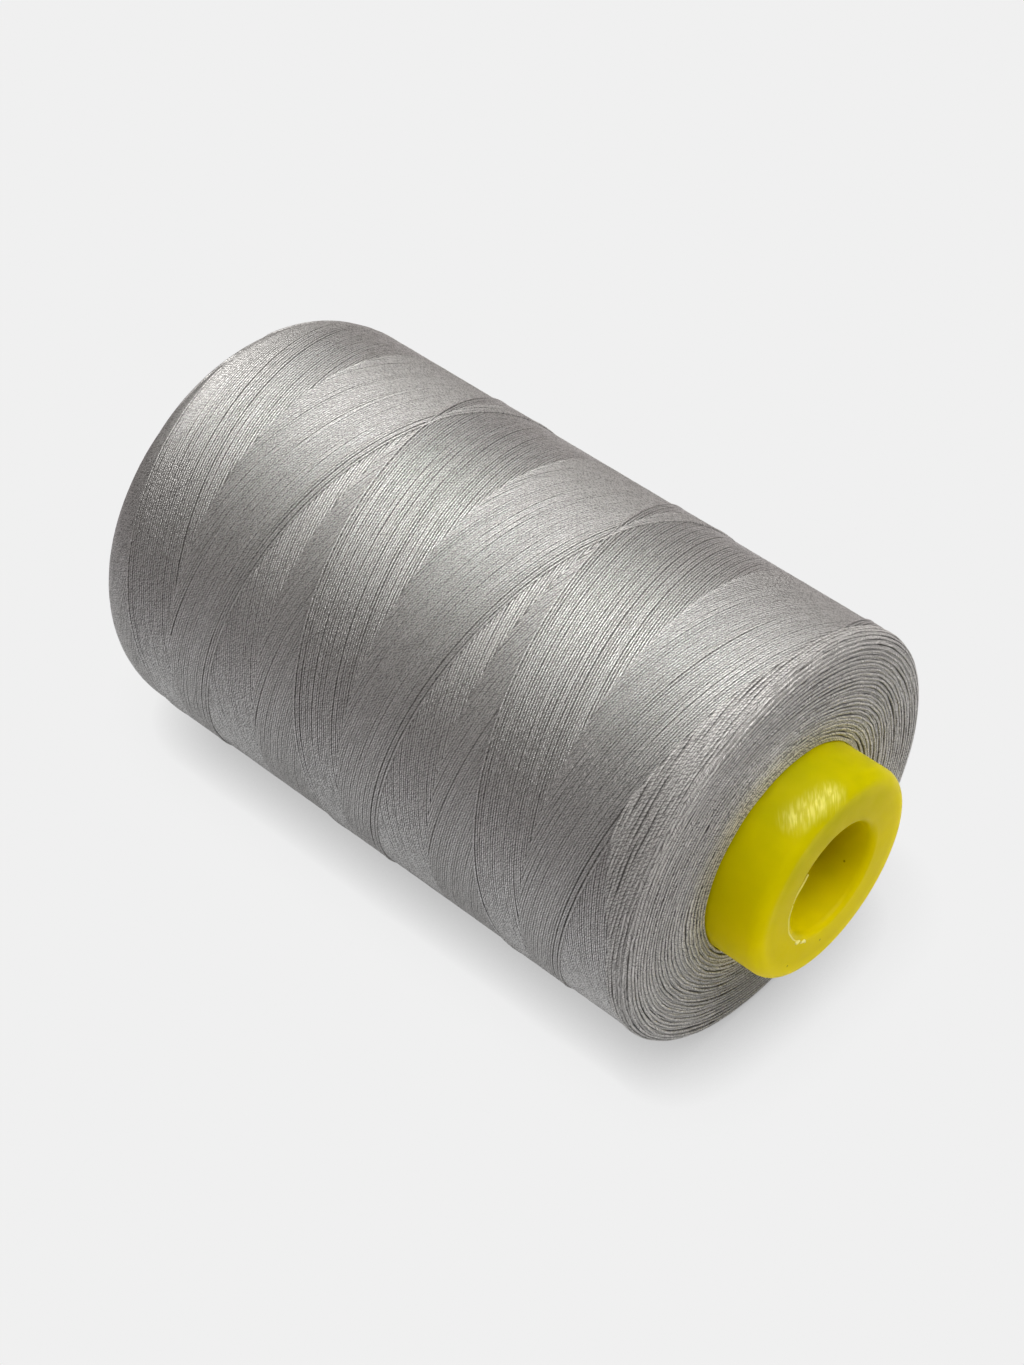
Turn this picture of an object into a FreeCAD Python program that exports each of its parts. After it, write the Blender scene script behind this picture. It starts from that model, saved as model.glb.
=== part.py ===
"""King spool of sewing thread lying on its side, in millimetres.

The spool's axis is X, with the closed end of its moulded core at +X, and +Z is up.
The origin is under the middle of the spool, on the surface that it lies on.
Distances called "depth" are counted from the +X end of the core towards -X.
"""

import FreeCAD
import Part
import math
import os

Vector = FreeCAD.Vector

# Core: one hollow plastic moulding
CORE_LENGTH = 110.0
CORE_RADIUS = 15.2
CORE_WALL = 1.5
CORE_END_ROUNDING = 1.9
CORE_BASE_ROUNDING = 0.6
BORE_RADIUS = 8.05
BORE_WALL = 1.2
BORE_LIP_ROUNDING = 1.0
END_WALL = 3.0
RIB_COUNT = 6
RIB_THICKNESS = 1.0
RIB_SETBACK = 0.8

# Wound thread: where it sits on the core, and its rounded ends
THREAD_START = 8.0
THREAD_LENGTH = 98.6
PACKAGE_RADIUS = 30.0
END_FACE_SLOPE = 0.5
NEAR_SHOULDER = 2.0
FAR_SHOULDER_LENGTH = 9.3
FAR_SHOULDER_DROP = 8.2

# Outer strokes: one layer of thread laid outwards and one laid back over it
THREAD_DIAMETER = 0.35
OUTER_LAYERS = 2

# Fits, and the flat that the spool lies on
WINDING_CLEARANCE = 0.05
REST_FLAT_DEPTH = 0.2

# Places that follow from the sizes above
AXIS_HEIGHT = PACKAGE_RADIUS - REST_FLAT_DEPTH
WOUND_BORE_RADIUS = CORE_RADIUS + WINDING_CLEARANCE
DRUM_RADIUS = PACKAGE_RADIUS - OUTER_LAYERS * THREAD_DIAMETER
THREAD_END = THREAD_START + THREAD_LENGTH
STRAIGHT_START = THREAD_START + END_FACE_SLOPE + NEAR_SHOULDER
STRAIGHT_END = THREAD_END - FAR_SHOULDER_LENGTH


def spool_point(depth, radius, degrees=90.0):
    """Point at a depth below the +X end, a distance from the axis, and an angle round it from +Y."""
    turn = math.radians(degrees)
    return Vector(CORE_LENGTH / 2 - depth, radius * math.cos(turn), AXIS_HEIGHT + radius * math.sin(turn))


def line(a, b):
    """Straight edge between two points."""
    return Part.LineSegment(a, b).toShape()


def corner_arc(depth_middle, radius_middle, rounding, from_degrees, to_degrees):
    """Round stretch of a profile about the given centre, with angles from the +X end's direction."""
    points = []
    for degrees in (from_degrees, (from_degrees + to_degrees) / 2, to_degrees):
        turn = math.radians(degrees)
        depth = depth_middle - rounding * math.cos(turn)
        points.append(spool_point(depth, radius_middle + rounding * math.sin(turn)))
    return Part.Arc(*points).toShape()


def revolved(edges):
    """Solid from a closed profile turned all the way round the spool's axis."""
    face = Part.Face(Part.Wire(edges))
    return face.revolve(Vector(0, 0, AXIS_HEIGHT), Vector(1, 0, 0), 360)


def ring(start, end, inner, outer):
    """Plain tube along the axis between two depths."""
    corners = [spool_point(d, r) for d, r in ((start, inner), (start, outer), (end, outer), (end, inner))]
    edges = [line(a, b) for a, b in zip(corners, corners[1:] + corners[:1])]
    return revolved(edges)


def core_outline():
    """Solid core with its bore, before the space between its walls is taken out."""
    lip = BORE_LIP_ROUNDING
    end = CORE_END_ROUNDING
    base = CORE_BASE_ROUNDING
    edges = [
        corner_arc(lip, BORE_RADIUS + lip, lip, -90, 0),
        line(spool_point(0, BORE_RADIUS + lip), spool_point(0, CORE_RADIUS - end)),
        corner_arc(end, CORE_RADIUS - end, end, 0, 90),
        line(spool_point(end, CORE_RADIUS), spool_point(CORE_LENGTH - base, CORE_RADIUS)),
        corner_arc(CORE_LENGTH - base, CORE_RADIUS - base, base, 90, 180),
        line(spool_point(CORE_LENGTH, CORE_RADIUS - base), spool_point(CORE_LENGTH, BORE_RADIUS)),
        line(spool_point(CORE_LENGTH, BORE_RADIUS), spool_point(lip, BORE_RADIUS)),
    ]
    return revolved(edges)


def rib(index):
    """One of the webs that join the bore's tube to the outer wall, set back from the open end."""
    length = CORE_LENGTH - RIB_SETBACK - END_WALL / 2
    height = CORE_RADIUS - CORE_WALL / 2
    corner = Vector(-CORE_LENGTH / 2 + RIB_SETBACK, -RIB_THICKNESS / 2, AXIS_HEIGHT)
    web = Part.makeBox(length, RIB_THICKNESS, height, corner)
    web.rotate(Vector(0, 0, AXIS_HEIGHT), Vector(1, 0, 0), index * 360.0 / RIB_COUNT)
    return web


def make_core():
    """Moulded core: outer wall, bore tube, closed +X end, and ribs between the walls, open at -X."""
    inner = BORE_RADIUS + BORE_WALL
    outer = CORE_RADIUS - CORE_WALL
    hollow = ring(END_WALL, CORE_LENGTH + 1, inner, outer)
    for index in range(RIB_COUNT):
        hollow = hollow.cut(rib(index))
    return core_outline().cut(hollow).removeSplitter()


def near_shoulder_arc():
    """Tight rounded shoulder at the +X end of the winding."""
    return corner_arc(STRAIGHT_START, PACKAGE_RADIUS - NEAR_SHOULDER, NEAR_SHOULDER, 0, 90)


def far_shoulder_arc():
    """Long soft shoulder at the -X end, which leaves the straight side smoothly and meets the end face."""
    length = FAR_SHOULDER_LENGTH
    drop = FAR_SHOULDER_DROP
    rounding = (length ** 2 + drop ** 2) / (2 * drop)
    sweep = 2 * math.degrees(math.atan2(drop, length))
    return corner_arc(STRAIGHT_END, PACKAGE_RADIUS - rounding, rounding, 90, 90 + sweep)


def package_outline():
    """Whole winding on the core, with its slightly hollow +X end face and both shoulders."""
    near = near_shoulder_arc()
    far = far_shoulder_arc()
    start = spool_point(THREAD_START, WOUND_BORE_RADIUS)
    end = spool_point(THREAD_END, WOUND_BORE_RADIUS)
    edges = [
        line(start, near.firstVertex().Point),
        near,
        line(near.lastVertex().Point, far.firstVertex().Point),
        far,
        line(far.lastVertex().Point, end),
        line(end, start),
    ]
    return revolved(edges)


def make_wound_thread():
    """Everything wound under the outer strokes, as one mass on the core."""
    strokes_space = ring(STRAIGHT_START, STRAIGHT_END, DRUM_RADIUS, PACKAGE_RADIUS + 1)
    return package_outline().cut(strokes_space)


def make_outer_turns():
    """Outer strokes of the thread, between the two shoulders, as a plain sleeve."""
    start = STRAIGHT_START + WINDING_CLEARANCE
    end = STRAIGHT_END - WINDING_CLEARANCE
    return ring(start, end, DRUM_RADIUS + WINDING_CLEARANCE, PACKAGE_RADIUS)


def rest_flat_cutter():
    """Block below the surface that the spool lies on."""
    side = 4 * PACKAGE_RADIUS + CORE_LENGTH
    return Part.makeBox(side, side, side, Vector(-side / 2, -side / 2, -side))


def main():
    """Build every piece and write it to its own file."""
    os.makedirs("parts", exist_ok=True)
    cutter = rest_flat_cutter()
    pieces = {
        "moulded_core": make_core(),
        "wound_thread": make_wound_thread().cut(cutter),
        "outer_thread_turns": make_outer_turns().cut(cutter),
    }
    for name, shape in pieces.items():
        print(name, "valid", shape.isValid(), "solids", len(shape.Solids), "volume", round(shape.Volume, 1))
        shape.exportStep(os.path.join("parts", name + ".step"))


main()
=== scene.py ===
"""King spool of grey sewing thread on a yellow moulded core, lying on a pale floor.

The CAD frame gives the spool's sizes and places, in metres. The spool's axis lies along X,
"depth" is counted from the +X end of the core towards -X, and an angle round the axis is
counted from +Y towards +Z.
"""

import logging
import math
import random
from abc import ABC, abstractmethod
from collections.abc import Iterable
from dataclasses import dataclass, field
from enum import Enum

import bmesh
import bpy
from mathutils import Matrix, Vector


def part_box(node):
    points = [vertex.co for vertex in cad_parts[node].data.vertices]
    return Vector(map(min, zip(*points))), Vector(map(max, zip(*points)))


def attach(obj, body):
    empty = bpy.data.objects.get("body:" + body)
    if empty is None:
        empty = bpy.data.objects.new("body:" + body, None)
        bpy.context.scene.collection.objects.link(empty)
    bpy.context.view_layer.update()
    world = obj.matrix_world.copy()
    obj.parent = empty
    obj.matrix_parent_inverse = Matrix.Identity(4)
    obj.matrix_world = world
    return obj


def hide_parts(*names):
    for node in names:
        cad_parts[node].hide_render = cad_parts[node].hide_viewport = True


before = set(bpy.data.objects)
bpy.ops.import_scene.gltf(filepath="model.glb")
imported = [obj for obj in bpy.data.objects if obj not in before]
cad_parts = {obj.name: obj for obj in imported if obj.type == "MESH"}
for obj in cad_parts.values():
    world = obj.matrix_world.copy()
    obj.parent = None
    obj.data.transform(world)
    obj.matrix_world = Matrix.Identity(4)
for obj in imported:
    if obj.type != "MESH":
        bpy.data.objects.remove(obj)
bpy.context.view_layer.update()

MM = 0.001
TURN = 2 * math.pi
BLACK = (0.0, 0.0, 0.0, 1.0)

# Range that holds nearly all values of a noise texture
NOISE_RANGE = (0.3, 0.7)

# Least and most counts of one turn's quick, slow and middling waves
WAVE_COUNTS = ((24, 40), (3, 8), (12, 22))

log = logging.getLogger("king_spool")


class Slot(Enum):
    """Material slots of the part's record."""

    CORE = "core_plastic"
    THREAD = "spun_thread"


class Stroke(Enum):
    """The two ways in which the thread crosses the drum."""

    OUTWARD = "outward"
    RETURN = "return"


class End(Enum):
    """The two ends of the winding, with the sign of X that each faces."""

    NEAR = 1
    FAR = -1


@dataclass(frozen=True)
class SpoolSizes:
    """Sizes and places of the spool, read from the CAD frame."""

    core_end: float
    core_length: float
    core_radius: float
    axis_height: float
    package_radius: float
    thread_start: float
    thread_end: float

    @classmethod
    def from_frame(cls) -> "SpoolSizes":
        """Reads the boxes of the three CAD nodes.

        Returns:
            The sizes that every piece is built from.
        """
        core_low, core_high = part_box("moulded_core")
        thread_low, thread_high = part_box("wound_thread")
        turns_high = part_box("outer_thread_turns")[1]
        return cls(
            core_end=core_high.x,
            core_length=core_high.x - core_low.x,
            core_radius=(core_high.z - core_low.z) / 2,
            axis_height=(core_high.z + core_low.z) / 2,
            package_radius=turns_high.z - (core_high.z + core_low.z) / 2,
            thread_start=core_high.x - thread_high.x,
            thread_end=core_high.x - thread_low.x,
        )

    def place(self, depth: float, radius: float, angle: float) -> Vector:
        """Point of the spool.

        Args:
            depth: Distance below the +X end of the core.
            radius: Distance from the axis.
            angle: Angle round the axis, in radians.

        Returns:
            The point in the frame's coordinates.
        """
        across = radius * math.cos(angle)
        up = radius * math.sin(angle)
        return Vector((self.core_end - depth, across, self.axis_height + up))


def finished_object(name: str, shape: bmesh.types.BMesh, material: bpy.types.Material) -> bpy.types.Object:
    """Turns a finished shape into an object at the origin with one material.

    Args:
        name: Name of the piece.
        shape: The piece's geometry in the frame's coordinates; it is freed.
        material: The finish of the piece.

    Returns:
        The new object, linked to the scene.
    """
    mesh = bpy.data.meshes.new(name)
    shape.to_mesh(mesh)
    shape.free()
    mesh.materials.append(material)
    for face in mesh.polygons:
        face.use_smooth = True
    piece = bpy.data.objects.new(name, mesh)
    bpy.context.scene.collection.objects.link(piece)
    return piece


def turned_shape(profile: list[Vector], axis_height: float, steps: int) -> bmesh.types.BMesh:
    """Closed half section turned all the way round the spool's axis.

    Args:
        profile: Corners of the half section, in order.
        axis_height: Height of the axis.
        steps: Number of sides round the axis.

    Returns:
        The turned geometry.
    """
    shape = bmesh.new()
    corners = [shape.verts.new(point) for point in profile]
    for first, second in zip(corners, corners[1:] + corners[:1]):
        shape.edges.new((first, second))
    bmesh.ops.spin(
        shape,
        geom=shape.verts[:] + shape.edges[:],
        cent=(0, 0, axis_height),
        axis=(1, 0, 0),
        angle=TURN,
        steps=steps,
        use_merge=True,
    )
    return shape


def hand_over(piece: bpy.types.Object, replaced: Iterable[str] = ()) -> None:
    """Puts a piece on the part's body, hides the CAD nodes that it stands for, and logs its triangles.

    Args:
        piece: The finished piece.
        replaced: CAD nodes that aren't shown, because the piece stands for them.
    """
    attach(piece, "root")
    if replaced:
        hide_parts(*replaced)
    triangles = sum(len(face.vertices) - 2 for face in piece.data.polygons)
    log.info("%s: %d triangles", piece.name, triangles)


class NodeBoard:
    """Short hand for laying out one material's shader nodes."""

    def __init__(self, name: str) -> None:
        """Starts a material with an empty node tree.

        Args:
            name: Name of the material.
        """
        self.material = bpy.data.materials.new(name)
        self.material.use_nodes = True
        self.tree = self.material.node_tree
        self.tree.nodes.clear()

    def node(self, kind: str, settings: dict | None = None, **inputs: object) -> bpy.types.Node:
        """Adds a node.

        Args:
            kind: Blender's name of the node type.
            settings: Properties of the node itself.
            inputs: Sockets by name, with "_" for a space, given a value or an output to link.

        Returns:
            The new node.
        """
        made = self.tree.nodes.new(kind)
        for key, value in (settings or {}).items():
            setattr(made, key, value)
        for key, value in inputs.items():
            self.feed(made.inputs[key.replace("_", " ")], value)
        return made

    def feed(self, socket: bpy.types.NodeSocket, value: object) -> None:
        """Links an output to a socket, or sets the socket's own value.

        Args:
            socket: The input to feed.
            value: An output to link, or the value that the input keeps.
        """
        if isinstance(value, bpy.types.NodeSocket):
            self.tree.links.new(value, socket)
        else:
            socket.default_value = value

    def maths(self, operation: str, *values: object) -> bpy.types.NodeSocket:
        """Result of a Math node.

        Args:
            operation: Blender's name of the operation.
            values: Its inputs in order, as values or outputs.

        Returns:
            The node's output.
        """
        made = self.tree.nodes.new("ShaderNodeMath")
        made.operation = operation
        for socket, value in zip(made.inputs, values):
            self.feed(socket, value)
        return made.outputs[0]

    def ramp(
        self, value: object, low: object, high: object, to_low: float, to_high: float
    ) -> bpy.types.NodeSocket:
        """A value carried from one range to another, held at its ends.

        Args:
            value: The value or output.
            low: Where the first range starts.
            high: Where the first range ends.
            to_low: Result at its start and before it.
            to_high: Result at its end and after it.

        Returns:
            The carried value's output.
        """
        made = self.node(
            "ShaderNodeMapRange",
            {"clamp": True},
            Value=value,
            From_Min=low,
            From_Max=high,
            To_Min=to_low,
            To_Max=to_high,
        )
        return made.outputs["Result"]

    def mixed(
        self, share: object, first: object, second: object, blend: str = "MIX"
    ) -> bpy.types.NodeSocket:
        """Colour mixed from two.

        Args:
            share: How much of the second colour there is, from 0 to 1.
            first: First colour or output.
            second: Second colour or output.
            blend: Blender's name of the blend type.

        Returns:
            The mixed colour's output.
        """
        made = self.node("ShaderNodeMix", {"data_type": "RGBA", "blend_type": blend})
        self.feed(made.inputs[0], share)
        self.feed(made.inputs[6], first)
        self.feed(made.inputs[7], second)
        return made.outputs[2]

    def spot(self, place: Vector, size: float) -> bpy.types.NodeSocket:
        """A soft round spot in space.

        Args:
            place: Middle of the spot, in object coordinates.
            size: Radius at which it has gone.

        Returns:
            1 in the middle, falling to 0 at the radius.
        """
        where = self.node("ShaderNodeTexCoord")
        gap = self.node("ShaderNodeVectorMath", {"operation": "DISTANCE"})
        self.feed(gap.inputs[0], where.outputs["Object"])
        self.feed(gap.inputs[1], place)
        return self.ramp(gap.outputs["Value"], 0.1 * size, size, 1.0, 0.0)

    def round_axis(self, axis_height: float) -> tuple[bpy.types.NodeSocket, bpy.types.NodeSocket]:
        """Where a place is round the spool's axis.

        Args:
            axis_height: Height of the axis.

        Returns:
            Height above the axis, and distance from it.
        """
        place = self.node("ShaderNodeTexCoord")
        parts = self.node("ShaderNodeSeparateXYZ", Vector=place.outputs["Object"])
        across = parts.outputs["Y"]
        up = self.maths("SUBTRACT", parts.outputs["Z"], axis_height)
        squares = self.maths("MULTIPLY_ADD", across, across, self.maths("MULTIPLY", up, up))
        return up, self.maths("SQRT", squares)

    def finish(self, surface: bpy.types.NodeSocket) -> bpy.types.Material:
        """Connects the surface to the material's output and hands the material over."""
        self.node("ShaderNodeOutputMaterial", Surface=surface)
        return self.material


@dataclass(frozen=True)
class ThreadFinish:
    """Spun polyester thread, two-ply, mid grey, with painted shade in its ply grooves and at its strand
    edges, and painted yellow bounce light near the core.
    """

    name: str
    colour: tuple[float, float, float, float] = (0.285, 0.267, 0.256, 1.0)
    # Painted shade: the grooves between the plies are coloured dark for the shade that falls in them.
    groove_shade_colour: tuple[float, float, float, float] = (0.045, 0.040, 0.040, 1.0)
    roughness: float = 0.50
    ior: float = 4.2
    specular: float = 1.0
    groove_specular: float = 0.34
    # Painted shade at the strands' edges, where they meet the next; it darkens both the colour and the
    # highlight.
    edge_shade: float = 0.50
    sheen: float = 0.08
    sheen_roughness: float = 0.5
    ply_length: float = 0.50 * MM
    ply_lean: float = 0.8
    ply_depth: float = 0.034 * MM
    ply_wander: float = 2.6
    ply_unevenness: float = 0.9
    crest_width: float = 0.28
    fibre_scale: tuple[float, float, float] = (4000.0, 5.0, 1.0)
    fibre_light: tuple[float, float] = (0.78, 1.20)
    fibre_relief: float = 0.2
    cloud_scale: float = 60.0
    cloud_light: tuple[float, float] = (0.96, 1.04)
    tone_spread: float = 0.07
    # Painted bounce light: yellow light from the core, multiplied into the thread's colour near it.
    core_bounce_colour: tuple[float, float, float, float] = (1.0, 0.93, 0.45, 1.0)
    core_bounce_share: float = 0.75
    core_bounce_reach: float = 4.5 * MM
    stain_colour: tuple[float, float, float, float] = (0.10, 0.075, 0.045, 1.0)
    stain_depth: float = 90 * MM
    stain_angle: float = math.radians(67.5)
    stain_size: float = 1.1 * MM
    stain_share: float = 0.45

    def strand_place(self, board: NodeBoard) -> bpy.types.Node:
        """Place on the strand's own map: X is the distance along it, and Y runs across it from 0 to 1."""
        strand = board.node("ShaderNodeUVMap", {"uv_map": "Strand"})
        return board.node("ShaderNodeSeparateXYZ", Vector=strand.outputs[0])

    def ply_height(self, board: NodeBoard) -> bpy.types.NodeSocket:
        """Height of the twisted plies.

        Args:
            board: The material's nodes.

        Returns:
            0 in a groove between two plies, rising to 1 on a ply.
        """
        parts = self.strand_place(board)
        along = board.maths("DIVIDE", parts.outputs["X"], self.ply_length)
        leaned = board.maths("MULTIPLY_ADD", parts.outputs["Y"], self.ply_lean, along)
        uneven = board.node(
            "ShaderNodeTexNoise",
            {"noise_dimensions": "1D"},
            W=along,
            Scale=self.ply_unevenness,
            Detail=1.0,
        )
        turned = board.maths("MULTIPLY_ADD", uneven.outputs[0], self.ply_wander, leaned)
        wave = board.maths("SINE", board.maths("MULTIPLY", turned, math.pi))
        return board.maths("ABSOLUTE", wave)

    def edge_painted_shade(self, board: NodeBoard) -> bpy.types.NodeSocket:
        """Painted shade across a strand's width, for the shade where it meets the next strand.

        Args:
            board: The material's nodes.

        Returns:
            1 on the strand's crest, and less where it meets the next.
        """
        parts = self.strand_place(board)
        off_crest = board.maths("ABSOLUTE", board.maths("SUBTRACT", parts.outputs["Y"], 0.5))
        return board.ramp(off_crest, self.crest_width, 0.5, 1.0, 1 - self.edge_shade)

    def fibre_noise(self, board: NodeBoard) -> bpy.types.NodeSocket:
        """Fine uneven fibres that run along the strand.

        Args:
            board: The material's nodes.

        Returns:
            The fibres' noise, from 0 to 1.
        """
        strand = board.node("ShaderNodeUVMap", {"uv_map": "Strand"})
        spread = board.node("ShaderNodeMapping", Vector=strand.outputs[0], Scale=self.fibre_scale)
        noise = board.node("ShaderNodeTexNoise", Vector=spread.outputs[0], Scale=1.0, Detail=3.0)
        return noise.outputs[0]

    def core_bounce_tint(self, board: NodeBoard, sizes: SpoolSizes) -> bpy.types.NodeSocket:
        """Painted yellow bounce light from the core on the thread, which fades away from where the core
        leaves it.

        Args:
            board: The material's nodes.
            sizes: Sizes of the spool.

        Returns:
            Share of the painted bounce light, from 0 to 1.
        """
        place = board.node("ShaderNodeTexCoord")
        parts = board.node("ShaderNodeSeparateXYZ", Vector=place.outputs["Object"])
        radius = board.round_axis(sizes.axis_height)[1]
        edge = sizes.core_radius
        near_core = board.ramp(radius, edge, edge + self.core_bounce_reach, self.core_bounce_share, 0.0)
        near_end = board.ramp(parts.outputs["X"], 0.0, self.core_bounce_reach, 0.0, 1.0)
        return board.maths("MULTIPLY", near_core, near_end)

    def material(self, sizes: SpoolSizes) -> bpy.types.Material:
        """The thread's material.

        Args:
            sizes: Sizes of the spool, for the places of the one small stain and of the core's painted bounce
                light.

        Returns:
            The new material.
        """
        board = NodeBoard(self.name)
        height = self.ply_height(board)
        fibres = self.fibre_noise(board)
        tone = board.node("ShaderNodeAttribute", {"attribute_name": "tone"})
        place = board.node("ShaderNodeTexCoord")
        cloud = board.node(
            "ShaderNodeTexNoise", Vector=place.outputs["Object"], Scale=self.cloud_scale, Detail=3.0
        )
        # Painted shade in the ply grooves, mixed in by the ply height.
        thread = board.mixed(height, self.groove_shade_colour, self.colour)
        fibre_light = board.ramp(fibres, *NOISE_RANGE, *self.fibre_light)
        tone_light = board.ramp(tone.outputs["Fac"], 0.0, 1.0, 1 - self.tone_spread, 1 + self.tone_spread)
        cloud_light = board.ramp(cloud.outputs[0], *NOISE_RANGE, *self.cloud_light)
        light = board.maths("MULTIPLY", board.maths("MULTIPLY", fibre_light, tone_light), cloud_light)
        # The painted edge shade darkens the colour here, and the shine below.
        light = board.maths("MULTIPLY", light, self.edge_painted_shade(board))
        shade = board.node("ShaderNodeCombineColor", Red=light, Green=light, Blue=light)
        clean = board.mixed(1.0, thread, shade.outputs[0], "MULTIPLY")
        place_of_stain = sizes.place(self.stain_depth, sizes.package_radius, self.stain_angle)
        stain = board.maths("MULTIPLY", board.spot(place_of_stain, self.stain_size), self.stain_share)
        colour = board.mixed(stain, clean, self.stain_colour)
        # Painted bounce light from the yellow core.
        colour = board.mixed(self.core_bounce_tint(board, sizes), colour, self.core_bounce_colour, "MULTIPLY")
        relief = board.maths("MULTIPLY_ADD", fibres, self.fibre_relief, height)
        bump = board.node("ShaderNodeBump", Height=relief, Distance=self.ply_depth, Strength=1.0)
        shader = board.node(
            "ShaderNodeBsdfPrincipled",
            Base_Color=colour,
            Roughness=self.roughness,
            IOR=self.ior,
            Normal=bump.outputs[0],
        )
        # Through light, the painted edge shade also dims the highlight at the strands' edges.
        shine = board.ramp(height, 0.0, 1.0, self.groove_specular, self.specular)
        board.feed(shader.inputs["Specular IOR Level"], board.maths("MULTIPLY", shine, light))
        shader.inputs["Sheen Weight"].default_value = self.sheen
        shader.inputs["Sheen Roughness"].default_value = self.sheen_roughness
        return board.finish(shader.outputs[0])


@dataclass(frozen=True)
class PackedThreadShadeFinish:
    """Thread packed under the visible strands, seen only through the gaps between them, and coloured much
    darker than the strands as painted shade in those gaps.
    """

    # Painted shade: both tones are far darker than the strands' own grey, for the shade in the gaps.
    colour: tuple[float, float, float, float] = (0.10, 0.095, 0.09, 1.0)
    lit_colour: tuple[float, float, float, float] = (0.17, 0.165, 0.16, 1.0)
    roughness: float = 0.8
    strand_pitch: float = 0.35 * MM
    grain_range: tuple[float, float] = (0.35, 0.65)

    def material(self) -> bpy.types.Material:
        """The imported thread's material.

        Returns:
            The new material.
        """
        board = NodeBoard("packed_thread")
        place = board.node("ShaderNodeTexCoord")
        fineness = 1.0 / self.strand_pitch
        grain = board.node("ShaderNodeTexNoise", Vector=place.outputs["Object"], Scale=fineness)
        lit = board.ramp(grain.outputs[0], *self.grain_range, 0.0, 1.0)
        colour = board.mixed(lit, self.colour, self.lit_colour)
        relief = self.strand_pitch / 4
        bump = board.node("ShaderNodeBump", Height=grain.outputs[0], Distance=relief, Strength=1.0)
        shader = board.node(
            "ShaderNodeBsdfPrincipled", Base_Color=colour, Roughness=self.roughness, Normal=bump.outputs[0]
        )
        return board.finish(shader.outputs[0])


@dataclass(frozen=True)
class CorePlaces:
    """Places and sizes on the core that its finish depends on."""

    specks: tuple[Vector, ...]
    speck_size: float
    polished_highlight_spots: tuple[Vector, ...]
    polished_size: float
    axis_height: float
    bore_radius: float
    core_radius: float


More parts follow.
